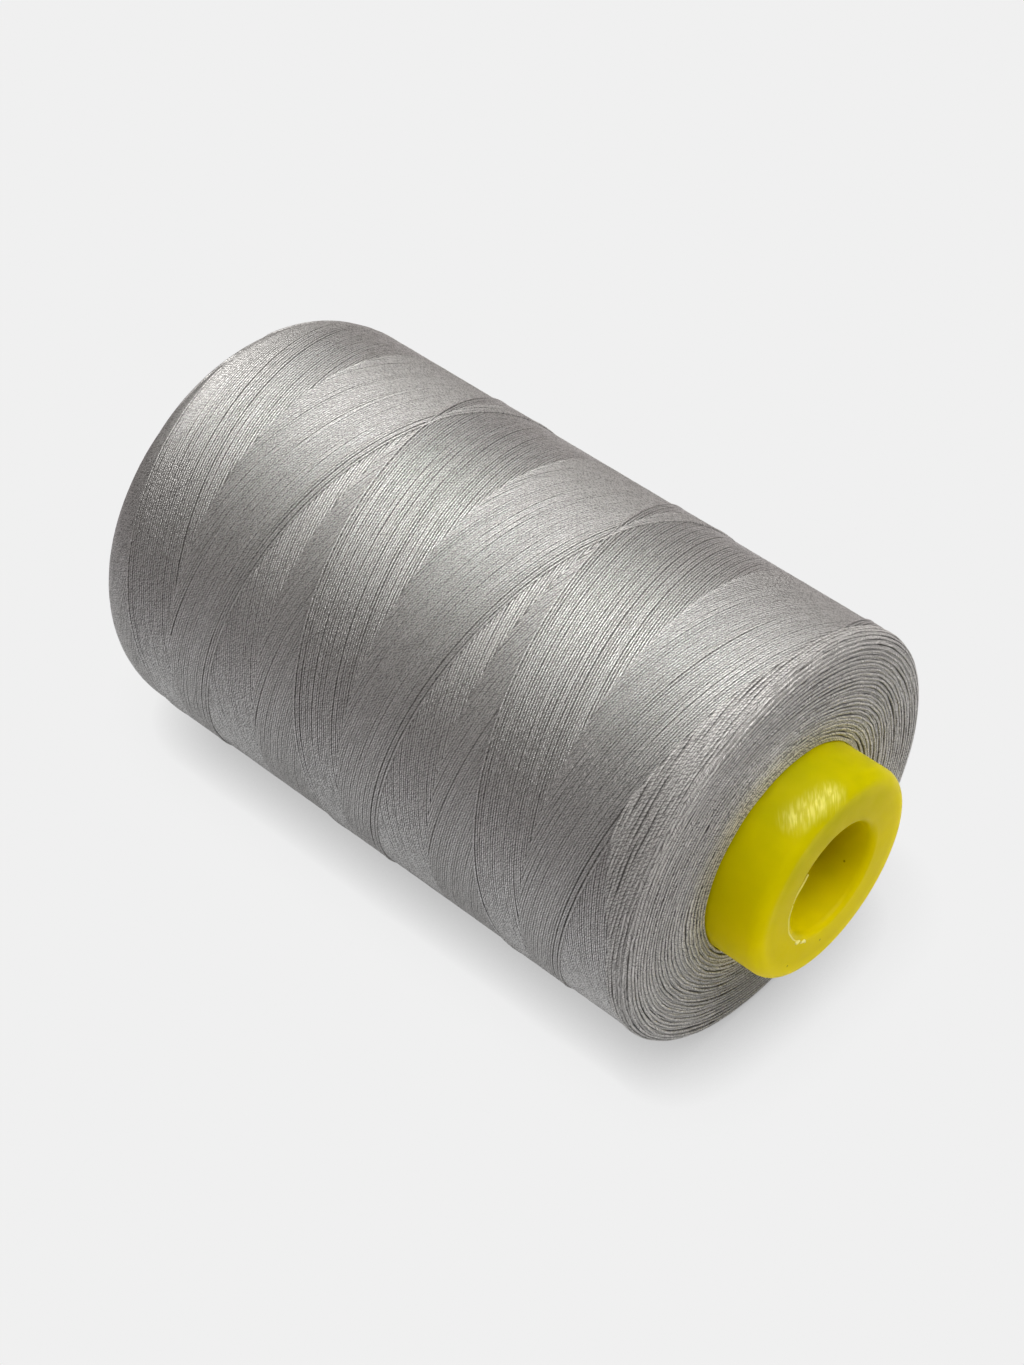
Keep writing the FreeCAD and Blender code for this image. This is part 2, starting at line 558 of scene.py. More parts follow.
@dataclass(frozen=True)
class CorePlasticFinish:
    """Yellow injection-moulded polypropylene with a satin gloss, scratches and a few specks; painted shade
    darkens its top, end face and bore, and pale marks paint a highlight streak.
    """

    colour: tuple[float, float, float, float] = (0.78, 0.64, 0.0, 1.0)
    # Painted shade: colour towards which the top is darkened, where the lamps light the core most.
    top_shade_colour: tuple[float, float, float, float] = (0.45, 0.415, 0.0, 1.0)
    # Painted highlight: pale scratch marks on the polished spots stand for the key light's streak on the
    # rounded edge.
    highlight_mark_colour: tuple[float, float, float, float] = (0.98, 0.92, 0.22, 1.0)
    highlight_mark_share: float = 0.62
    mark_size: tuple[float, float, float] = (0.11 * MM, 0.9 * MM, 0.9 * MM)
    mark_lean: float = math.radians(42)
    mark_fineness: float = 0.5
    mark_range: tuple[float, float] = (0.42, 0.62)
    least_highlight_mark: float = 0.2
    cloud_scale: float = 220.0
    least_top_shade: float = 0.75
    # Painted shade: the end face and the bore are darkened by their distance from the axis.
    face_edge: tuple[float, float] = (0.80, 0.92)
    face_shade: float = 0.15
    bore_edge: float = 1.05
    bore_shade: float = 0.08
    speck_colour: tuple[float, float, float, float] = (0.12, 0.09, 0.0, 1.0)
    shine_colour: tuple[float, float, float, float] = (1.0, 0.97, 0.55, 1.0)
    ior: float = 1.49
    roughness: float = 0.40
    roughness_spread: tuple[float, float] = (-0.04, 0.06)
    specular: float = 0.09
    polished_roughness: float = 0.25
    polished_specular: float = 1.0
    subsurface: float = 1.0
    subsurface_scale: float = 7.5 * MM
    subsurface_spread: tuple[float, float, float] = (1.0, 0.92, 0.3)
    scratch_scales: tuple[tuple[float, float, float], ...] = (
        (9000.0, 500.0, 500.0),
        (450.0, 7000.0, 7000.0),
    )
    scratch_depth: float = 0.012 * MM
    polished_scratch_depth: float = 0.045 * MM
    polish_falloff: float = 1.5
    polish_full: float = 0.6

    def scratches(self, board: NodeBoard) -> bpy.types.NodeSocket:
        """Fine marks along and round the core.

        Args:
            board: The material's nodes.

        Returns:
            Height of the marks.
        """
        place = board.node("ShaderNodeTexCoord")
        marks = []
        for scale in self.scratch_scales:
            spread = board.node("ShaderNodeMapping", Vector=place.outputs["Object"], Scale=scale)
            noise = board.node("ShaderNodeTexNoise", Vector=spread.outputs[0], Scale=1.0, Detail=2.0)
            marks.append(noise.outputs[0])
        return board.maths("ADD", *marks)

    def highlight_scratch_marks(self, board: NodeBoard) -> bpy.types.NodeSocket:
        """Short pale scratch marks side by side where the core rubbed, their paleness a painted highlight
        for the key light's streak.

        Args:
            board: The material's nodes.

        Returns:
            How much of the painted highlight's pale colour there is, from 0 to 1.
        """
        place = board.node("ShaderNodeTexCoord")
        spread = board.node(
            "ShaderNodeMapping",
            {"vector_type": "TEXTURE"},
            Vector=place.outputs["Object"],
            Rotation=(0.0, 0.0, self.mark_lean),
            Scale=self.mark_size,
        )
        noise = board.node(
            "ShaderNodeTexNoise", Vector=spread.outputs[0], Scale=self.mark_fineness, Detail=1.0
        )
        return board.ramp(noise.outputs[0], *self.mark_range, self.least_highlight_mark, self.highlight_mark_share)

    def plain_colour(
        self, board: NodeBoard, cloud: bpy.types.NodeSocket, core: CorePlaces
    ) -> bpy.types.NodeSocket:
        """Colour of the plastic, with painted shade that darkens it in patches towards the top, on the end
        face and in the bore.

        Args:
            board: The material's nodes.
            cloud: Noise that makes the painted shade towards the top patchy.
            core: Places and sizes on the core.

        Returns:
            The colour's output.
        """
        up, radius = board.round_axis(core.axis_height)
        patches = board.ramp(cloud, *NOISE_RANGE, self.least_top_shade, 1.0)
        # Painted shade: darker towards the top, in patches.
        top_shade = board.maths("MULTIPLY", board.ramp(up, 0.0, core.core_radius, 0.0, 1.0), patches)
        colour = board.mixed(top_shade, self.colour, self.top_shade_colour)
        dull_to, bright_from = (share * core.core_radius for share in self.face_edge)
        # Painted shade on the end face and in the bore.
        on_face = board.ramp(radius, dull_to, bright_from, self.face_shade, 0.0)
        bore_end = self.bore_edge * core.bore_radius
        in_bore = board.ramp(radius, core.bore_radius, bore_end, self.bore_shade, 0.0)
        return board.mixed(board.maths("ADD", on_face, in_bore), colour, BLACK)

    def polish(self, board: NodeBoard, core: CorePlaces) -> bpy.types.NodeSocket:
        """How polished the plastic is, which also says where the painted highlight marks go.

        Args:
            board: The material's nodes.
            core: Places and sizes on the core.

        Returns:
            1 in the middle of a polished place, falling to 0 round it.
        """
        polish = 0.0
        for place in core.polished_highlight_spots:
            polish = board.maths("MAXIMUM", polish, board.spot(place, core.polished_size))
        return board.maths("POWER", polish, self.polish_falloff)

    def material(self, core: CorePlaces) -> bpy.types.Material:
        """The core's material.

        Args:
            core: Places and sizes on the core.

        Returns:
            The new material.
        """
        board = NodeBoard("moulded_yellow_plastic")
        where = board.node("ShaderNodeTexCoord")
        noise = board.node(
            "ShaderNodeTexNoise", Vector=where.outputs["Object"], Scale=self.cloud_scale, Detail=2.0
        )
        cloud = noise.outputs[0]
        colour = self.plain_colour(board, cloud, core)
        for speck in core.specks:
            colour = board.mixed(board.spot(speck, core.speck_size), colour, self.speck_colour)
        least, most = (self.roughness + spread for spread in self.roughness_spread)
        rough = board.ramp(cloud, *NOISE_RANGE, least, most)
        polish = self.polish(board, core)
        rubbed_highlight = board.maths("MULTIPLY", polish, self.highlight_scratch_marks(board))
        # Painted highlight: pale marks lighten the colour where the key light's streak falls; the same mask
        # makes the plastic shinier there.
        colour = board.mixed(rubbed_highlight, colour, self.highlight_mark_colour)
        rough = board.maths("MULTIPLY_ADD", polish, self.polished_roughness - self.roughness, rough)
        specular = board.ramp(rubbed_highlight, 0.0, 1.0, self.specular, self.polished_specular)
        depth = board.ramp(polish, 0.0, self.polish_full, self.scratch_depth, self.polished_scratch_depth)
        bump = board.node("ShaderNodeBump", Height=self.scratches(board), Distance=depth, Strength=1.0)
        shader = board.node(
            "ShaderNodeBsdfPrincipled",
            {"subsurface_method": "BURLEY"},
            Base_Color=colour,
            Roughness=rough,
            IOR=self.ior,
            Normal=bump.outputs[0],
        )
        board.feed(shader.inputs["Specular IOR Level"], specular)
        shader.inputs["Specular Tint"].default_value = self.shine_colour
        shader.inputs["Subsurface Weight"].default_value = self.subsurface
        shader.inputs["Subsurface Scale"].default_value = self.subsurface_scale
        shader.inputs["Subsurface Radius"].default_value = self.subsurface_spread
        return board.finish(shader.outputs[0])


@dataclass(frozen=True)
class GlintPaintedPlasticFinish:
    """Pale plastic on the flash line and the gate mark, whose paleness is a painted glint where light
    catches their crests.
    """

    colour: tuple[float, float, float, float] = (0.86, 0.80, 0.28, 1.0)
    roughness: float = 0.45

    def material(self) -> bpy.types.Material:
        """The pale plastic's material.

        Returns:
            The new material.
        """
        board = NodeBoard("pale_glint_plastic")
        shader = board.node("ShaderNodeBsdfPrincipled", Base_Color=self.colour, Roughness=self.roughness)
        return board.finish(shader.outputs[0])


@dataclass(frozen=True)
class FloorFinish:
    """Pale studio floor with one flat tone and a painted shadow near the spool, from nearby occlusion; in
    reflections it is a painted reflection, darker near the spool and dimmer and pinker far away.
    """

    colour: tuple[float, float, float, float] = (0.871, 0.871, 0.871, 1.0)
    # Painted shadow: the flat glow is darkened by occlusion near the spool, instead of a shadow cast by the
    # lamps.
    near_reach: float = 9 * MM
    near_shade: float = 0.55
    side_reach: float = 15 * MM
    side_shade: float = 0.32
    side_lean: tuple[float, float, float] = (0.0, -0.8, 0.6)
    mirror_reach: float = 300 * MM
    mirror_power: float = 1.4
    # Painted reflection: the floor as seen in reflections dims to this pinkish tone far from the spool.
    far_reflection_colour: tuple[float, float, float, float] = (0.29, 0.232, 0.24, 1.0)
    lit_reach: float = 60 * MM
    dim_reach: float = 240 * MM

    def shade(
        self, board: NodeBoard, reach: float, depth: float, lean: Iterable[float]
    ) -> bpy.types.NodeSocket:
        """How much light the floor's painted shadow leaves near the spool.

        Args:
            board: The material's nodes.
            reach: How far from the spool the shade goes.
            depth: How much light is lost right under the spool.
            lean: Direction that the floor's light comes from.

        Returns:
            Share of light, from 0 to 1.
        """
        way = board.node("ShaderNodeCombineXYZ")
        for socket, value in zip(way.inputs, lean):
            board.feed(socket, value)
        found = board.node(
            "ShaderNodeAmbientOcclusion", {"samples": 8}, Distance=reach, Normal=way.outputs[0]
        )
        return board.ramp(found.outputs["AO"], 0.0, 1.0, 1 - depth, 1.0)

    def material(self) -> bpy.types.Material:
        """The floor's material: a flat glow with a painted shadow for the camera, a painted reflection for
        glossy and transmission rays, and plain pale paint for the light it returns.

        Returns:
            The new material.
        """
        board = NodeBoard("pale_floor")
        path = board.node("ShaderNodeLightPath")
        seen = board.maths("MAXIMUM", path.outputs["Is Camera Ray"], path.outputs["Is Glossy Ray"])
        seen = board.maths("MAXIMUM", seen, path.outputs["Is Transmission Ray"])
        upright = (0.0, 0.0, 1.0)
        near = self.shade(board, self.near_reach, self.near_shade, upright)
        side = self.shade(board, self.side_reach, self.side_shade, self.side_lean)
        open_sky = self.shade(board, self.mirror_reach, 1.0, upright)
        mirrored = board.maths("POWER", open_sky, self.mirror_power)
        from_camera = path.outputs["Is Camera Ray"]
        to_camera = board.maths("MULTIPLY", board.maths("MULTIPLY", near, side), from_camera)
        elsewhere = board.maths("SUBTRACT", 1.0, from_camera)
        # Painted shadow for the camera, and painted darker reflections near the spool for glossy and
        # transmission rays.
        light = board.maths("MULTIPLY_ADD", mirrored, elsewhere, to_camera)
        diffuse = board.node("ShaderNodeBsdfDiffuse", Color=self.colour)
        where = board.node("ShaderNodeTexCoord")
        gap = board.node("ShaderNodeVectorMath", {"operation": "LENGTH"}, Vector=where.outputs["Object"])
        far = board.ramp(gap.outputs["Value"], self.lit_reach, self.dim_reach, 0.0, 1.0)
        tone = board.mixed(board.maths("MULTIPLY", far, elsewhere), self.colour, self.far_reflection_colour)
        glow = board.node("ShaderNodeEmission", Color=tone, Strength=light)
        both = board.node("ShaderNodeMixShader", Fac=seen)
        board.feed(both.inputs[1], diffuse.outputs[0])
        board.feed(both.inputs[2], glow.outputs[0])
        return board.finish(both.outputs[0])


@dataclass(frozen=True)
class Crest:
    """Top line of a laid strand at one angle round the spool."""

    depth: float
    radius: float
    tilt: float
    run: float


@dataclass
class StrandSet(ABC):
    """Strands laid side by side, each with the stretches of it that show."""

    sizes: SpoolSizes
    diameter: float = 0.345 * MM
    section_sides: int = 6
    step: float = math.radians(3.0)
    lane_shift: float = 17.0 * MM
    seed: int = 1
    seed_step: int = 7919

    @abstractmethod
    def lanes(self) -> range:
        """Numbers of the strands side by side."""

    @abstractmethod
    def stretches(self, lane: int) -> list[tuple[float, float]]:
        """Running angles between which a strand shows."""

    @abstractmethod
    def crest(self, lane: int, angle: float) -> Crest:
        """Where a strand's top line is at a running angle."""

    def tone(self, lane: int) -> float:
        """How light a strand is, from 0 to 1."""
        return random.Random(self.seed * self.seed_step + lane).random()

    def straight_stretch(self, shape: bmesh.types.BMesh, start: float, end: float) -> None:
        """Adds a straight capped thread along Z, cut into steps.

        Args:
            shape: The lane's geometry.
            start: Running angle at its start, which is also its Z.
            end: Running angle at its end.
        """
        steps = max(2, round((end - start) / self.step))
        middle = Matrix.Translation((0, 0, (start + end) / 2))
        made = bmesh.ops.create_cone(
            shape,
            cap_ends=True,
            segments=self.section_sides,
            radius1=self.diameter / 2,
            radius2=self.diameter / 2,
            depth=end - start,
            matrix=middle,
        )
        corners = set(made["verts"])
        along = []
        for edge in shape.edges:
            first, second = edge.verts
            if first in corners and abs(first.co.z - second.co.z) > self.step / 2:
                along.append(edge)
        bmesh.ops.subdivide_edges(shape, edges=along, cuts=steps - 1)

    def lay(self, shape: bmesh.types.BMesh, lane: int) -> None:
        """Bends a lane's straight threads to the places where they lie, and maps them.

        Args:
            shape: The lane's geometry, straight along Z.
            lane: Number of the strand.
        """
        tone = self.tone(lane)
        lane_start = (tone + lane) * self.lane_shift
        tone_layer = shape.verts.layers.float.new("tone")
        map_layer = shape.loops.layers.uv.new("Strand")
        crests: dict[float, Crest] = {}
        maps: dict[bmesh.types.BMVert, tuple[float, float]] = {}
        for vert in shape.verts:
            across, up, angle = vert.co
            key = round(angle, 4)
            if key not in crests:
                crests[key] = self.crest(lane, angle)
            top = crests[key]
            below = up - self.diameter / 2
            radius = top.radius + below * math.cos(top.tilt) - across * math.sin(top.tilt)
            depth = top.depth - below * math.sin(top.tilt) - across * math.cos(top.tilt)
            place = self.sizes.place(depth, radius, angle)
            place.z = max(place.z, 0.0)
            vert.co = place
            vert[tone_layer] = tone
            maps[vert] = (top.run + lane_start, across / self.diameter + 0.5)
        for face in shape.faces:
            for loop in face.loops:
                loop[map_layer].uv = maps[loop.vert]

    def shape(self) -> bmesh.types.BMesh:
        """Lays all strands.

        Returns:
            The strands together, closed and facing outwards.
        """
        whole = bmesh.new()
        whole.verts.layers.float.new("tone")
        whole.loops.layers.uv.new("Strand")
        spare = bpy.data.meshes.new("lane")
        for lane in self.lanes():
            strand = bmesh.new()
            for start, end in self.stretches(lane):
                self.straight_stretch(strand, start, end)
            self.lay(strand, lane)
            strand.to_mesh(spare)
            strand.free()
            whole.from_mesh(spare)
        bpy.data.meshes.remove(spare)
        bmesh.ops.recalc_face_normals(whole, faces=whole.faces)
        return whole


def smooth(value: float) -> float:
    """Soft step from 0 to 1 for a value from 0 to 1."""
    held = min(max(value, 0.0), 1.0)
    return held * held * (3 - 2 * held)


@dataclass(frozen=True)
class EndOutline:
    """Outline of one end of the winding: its face, its shoulder and the start of its side."""

    sizes: SpoolSizes
    end: End
    slope: float
    shoulder_length: float
    shoulder_drop: float
    least_cover: float
    cover_rise: float = 0.0
    cover_fall: float = 0.0
    rise_from: float = math.radians(88)
    fall_to: float = math.radians(172)
    core_gap: float = 0.1 * MM

    @property
    def inner_radius(self) -> float:
        """Radius at which the face meets the core."""
        return self.sizes.core_radius + self.core_gap

    @property
    def rounding(self) -> float:
        """Radius of the shoulder's arc, which leaves the side smoothly."""
        length, drop = self.shoulder_length, self.shoulder_drop
        return (length ** 2 + drop ** 2) / (2 * drop)

    @property
    def sweep(self) -> float:
        """Angle of the shoulder's arc."""
        return 2 * math.atan2(self.shoulder_drop, self.shoulder_length)

    @property
    def face_height(self) -> float:
        """Radial height of the face."""
        return self.sizes.package_radius - self.shoulder_drop - self.inner_radius

    @property
    def face_length(self) -> float:
        """Length of the face's line, from the core to the shoulder."""
        return math.hypot(self.slope, self.face_height)

    @property
    def length_to_side(self) -> float:
        """Length of the outline from the core to where the straight side begins."""
        return self.face_length + self.rounding * self.sweep

    @property
    def side_depth(self) -> float:
        """Depth at which the straight side begins."""
        return self.at(self.length_to_side)[0]

    def cover(self, angle: float) -> float:
        """How far the end's turns lie over the straight side.

        Args:
            angle: Angle round the spool.

        Returns:
            The length that they cover, negative if they stop short of the side.
        """
        turned = angle % TURN
        swell = min(self.cover_rise * (turned - self.rise_from), self.cover_fall * (self.fall_to - turned))
        return self.least_cover + max(0.0, swell)

    def at(self, reach: float) -> tuple[float, float, float]:
        """Place on the outline.

        Args:
            reach: Distance along the outline from the core.

        Returns:
            Depth and radius of the place, and the tilt of the outward direction from the
            radial one towards +X.
        """
        if reach < self.face_length:
            share = reach / self.face_length
            inward = self.slope * share
            radius = self.inner_radius + self.face_height * share
            tilt = math.pi / 2 - math.atan2(self.slope, self.face_height)
        elif reach < self.length_to_side:
            tilt = self.sweep - (reach - self.face_length) / self.rounding
            inward = self.slope + self.shoulder_length - self.rounding * math.sin(tilt)
            radius = self.sizes.package_radius - self.rounding * (1 - math.cos(tilt))
        else:
            tilt = 0.0
            inward = self.slope + self.shoulder_length + reach - self.length_to_side
            radius = self.sizes.package_radius
        if self.end is End.NEAR:
            return self.sizes.thread_start + inward, radius, tilt
        return self.sizes.thread_end - inward, radius, -tilt


@dataclass
class SideStrokes(StrandSet):
    """Strokes of one direction on the side of the winding.

    Each stroke lies beside the one before it, so that a whole turn's pitch is covered by
    strands of every age. At each place the younger of the two directions lies on top. Ages
    are given as the distance from the last stroke laid, along the spool. A wave is given as
    its size, its rate round the spool, and its shift from strand to strand or the share of
    the strand's own phase.
    """

    near: EndOutline | None = None
    far: EndOutline | None = None
    stroke: Stroke = Stroke.OUTWARD
    pitch: float = 31.5 * MM
    spacing: float = 0.35 * MM
    seam_depth: float = 41.6 * MM
    seam_angle: float = math.radians(80.7)
    other_seam_depth: float = 41.4 * MM
    start_angle: float = -math.pi / 2
    lift_spread: float = 0.006 * MM
    spacing_spread: float = 0.03
    step_height: float = 0.16 * MM
    tuck: float = 0.80 * MM
    tuck_drop: float = 0.33 * MM
    seam_rise: float = 0.06 * MM
    seam_gap: float = 0.06 * MM
    gap_share: float = 0.03
    gap_widths: tuple[float, float] = (0.12, 0.35)
    seam_gap_after: tuple[int, ...] = (1, 3)
    under_turns_from: float = 0.6 * MM
    under_turns_length: float = 1.2 * MM
    shared_waves: tuple[tuple[float, float, float], ...] = ((0.05 * MM, 2.3, 0.06), (0.03 * MM, 5.1, 0.13))
    own_waves: tuple[tuple[float, float, float], ...] = ((0.02 * MM, 1.7, 1.0), (0.012 * MM, 6.3, 2.0))
    lift_wave: tuple[float, float, float] = (0.010 * MM, 3.1, 1.3)
    room_for_last: float = 0.6
    turns_before_near: float = 0.25
    turns_beyond_far: float = 0.75
    spare_turns: int = 3
    least_steps: float = 1.5
    first_lane: int = 0
    every: int = 1
    ages: list[float] = field(default_factory=list)

    def __post_init__(self) -> None:
        """Lays the strands beside each other, with the uneven gaps of a real winding."""
        dice = random.Random(self.seed)
        age = 0.0
        while age < self.pitch - self.room_for_last * self.spacing:
            self.ages.append(age)
            step = self.spacing * dice.gauss(1.0, self.spacing_spread)
            if dice.random() < self.gap_share:
                step += self.spacing * dice.uniform(*self.gap_widths)
            if len(self.ages) in self.seam_gap_after:
                step += self.seam_gap
            age += step
        self.phases = [dice.uniform(0, TURN) for _ in self.ages]
        self.lifts = [dice.gauss(0.0, self.lift_spread) for _ in self.ages]

    @property
    def direction(self) -> float:
        """+1 where depth grows with the angle, -1 where it falls."""
        return -1.0 if self.stroke is Stroke.OUTWARD else 1.0

    def lanes(self) -> range:
        """Numbers of the strands that this piece holds."""
        return range(self.first_lane, len(self.ages), self.every)

    def seam(self, angle: float) -> float:
        """Depth of this direction's last stroke at an angle."""
        return self.seam_depth + self.direction * (angle - self.seam_angle) / TURN * self.pitch

    def other_seam(self, angle: float) -> float:
        """Depth of the other direction's last stroke at an angle."""
        return self.other_seam_depth - self.direction * (angle - self.seam_angle) / TURN * self.pitch

    def plain_depth(self, lane: int, angle: float) -> float:
        """Depth of a strand before its small wander, from where it starts beyond one end.

        Args:
            lane: Number of the strand.
            angle: Running angle.

        Returns:
            Its depth.
        """
        first = self.seam(self.start_angle) + self.direction * self.ages[lane]
        if self.stroke is Stroke.OUTWARD:
            turns = math.ceil((self.far.side_depth - first) / self.pitch + self.turns_beyond_far)
        else:
            turns = math.floor((self.near.side_depth - first) / self.pitch - self.turns_before_near)
        return self.seam(angle) + self.direction * self.ages[lane] + turns * self.pitch

    def past_near(self, depth: float, angle: float) -> float:
        """How far a place lies under the near end's turns."""
        return self.near.side_depth + self.near.cover(angle) - depth

    def past_far(self, depth: float, angle: float) -> float:
        """How far a place lies under the far end's turns."""
        return depth - self.far.side_depth + self.far.cover(angle)

    def other_age(self, depth: float, angle: float) -> float:
        """Age of the other direction's strand at a place."""
        return (self.direction * (self.other_seam(angle) - depth)) % self.pitch

    def shows(self, lane: int, angle: float) -> bool:
        """Whether a strand is to be seen.

        Args:
            lane: Number of the strand.
            angle: Running angle.

        Returns:
            True where it lies on top or is only just tucked under.
        """
        depth = self.plain_depth(lane, angle)
        if max(self.past_near(depth, angle), self.past_far(depth, angle)) > self.tuck:
            return False
        other = self.other_age(depth, angle)
        return other > self.ages[lane] - self.tuck or other < self.tuck

    def stretches(self, lane: int) -> list[tuple[float, float]]:
        """Where a strand shows.

        Args:
            lane: Number of the strand.

        Returns:
            Pairs of running angles between which it shows.
        """
        length = self.far.side_depth - self.near.side_depth + self.spare_turns * self.pitch
        found = []
        begun = None
        last = self.start_angle
        for index in range(round(length / self.pitch * TURN / self.step)):
            angle = self.start_angle + index * self.step
            if self.shows(lane, angle):
                begun = angle if begun is None else begun
                last = angle
            elif begun is not None:
                found.append((begun, last))
                begun = None
        if begun is not None:
            found.append((begun, last))
        return [(start, end) for start, end in found if end - start > self.least_steps * self.step]

    def wander(self, lane: int, angle: float) -> float:
        """Small sideways wander of a strand, most of it shared with its neighbours.

        Args:
            lane: Number of the strand.
            angle: Running angle.

        Returns:
            Distance along the spool.
        """
        phase = self.phases[lane]
        shared = sum(size * math.sin(rate * angle + shift * lane) for size, rate, shift in self.shared_waves)
        own = sum(size * math.sin(rate * angle + share * phase) for size, rate, share in self.own_waves)
        return shared + own

    def drop(self, lane: int, depth: float, angle: float) -> float:
        """How far a strand's crest lies under the fullest radius of the winding.

        Args:
            lane: Number of the strand.
            depth: Its depth at the angle.
            angle: Running angle.

        Returns:
            Distance below the winding's outline.
        """
        age = self.ages[lane]
        other = self.other_age(depth, angle)
        just_past = other < self.tuck and other <= age - self.tuck
        if age < 2 * self.tuck and other < self.tuck:
            just_past = other < age / 2 or other < self.tuck / 2
        level = other + self.pitch if just_past else other
        drop = self.step_height * (age + level) / self.pitch
        if just_past:
            drop += self.tuck_drop * smooth(other / self.tuck)
        elif other < age:
            drop += self.tuck_drop * smooth((age - other) / self.tuck)
        under_turns = max(self.past_near(depth, angle), self.past_far(depth, angle))
        drop += self.tuck_drop * smooth((under_turns + self.under_turns_from) / self.under_turns_length)
        if lane == 0:
            drop -= self.seam_rise * smooth(-under_turns / self.under_turns_length)
        return drop

    def outline_at(self, depth: float) -> tuple[float, float, float]:
        """Place on the outline of the whole winding.

        Args:
            depth: Depth, counted along the outline where it bends at the ends.

        Returns:
            Depth and radius of the place, and the tilt of the outward direction.
        """
        if depth < self.near.side_depth:
            return self.near.at(self.near.length_to_side - self.near.side_depth + depth)
        if depth > self.far.side_depth:
            return self.far.at(self.far.length_to_side + self.far.side_depth - depth)
        return depth, self.sizes.package_radius, 0.0

    def crest(self, lane: int, angle: float) -> Crest:
        """Where a strand's top line is.

        Args:
            lane: Number of the strand.
            angle: Running angle.

        Returns:
            The crest at that angle.
        """
        depth = self.plain_depth(lane, angle)
        drop = self.drop(lane, depth, angle)
        size, rate, share = self.lift_wave
        drop += self.lifts[lane] + size * math.sin(rate * angle + share * self.phases[lane])
        run = self.sizes.package_radius * (angle - self.start_angle)
        depth, radius, tilt = self.outline_at(depth + self.wander(lane, angle))
        return Crest(depth + drop * math.sin(tilt), radius - drop * math.cos(tilt), tilt, run)


@dataclass(frozen=True)
class TurnWaves:
    """Small waves of one turn, which are the same at its start and its end as its neighbours'."""

    counts: tuple[int, int, int]
    phases: tuple[float, float, float]

    @classmethod
    def drawn(cls, dice: random.Random) -> "TurnWaves":
        """Draws one turn's waves."""
        counts = tuple(dice.randint(least, most) for least, most in WAVE_COUNTS)
        return cls(counts, tuple(dice.uniform(0, TURN) for _ in counts))

    def part(self, index: int, share: float) -> float:
        """One of the waves, faded out at both ends of the turn."""
        fade = smooth(min(share, 1 - share) * 12)
        return fade * math.sin(self.counts[index] * TURN * share + self.phases[index])

    def at(self, share: float) -> float:
        """Quick sideways wave, from -1 to 1."""
        return 0.6 * self.part(0, share) + 0.4 * self.part(2, share)

    def slow(self, share: float) -> float:
        """Slow sideways wave, from -1 to 1."""
        return self.part(1, share)

    def height(self, share: float) -> float:
        """Wave up and down, from -1 to 1."""
        return 0.5 * self.part(1, share + 0.013) + 0.5 * self.part(2, share)


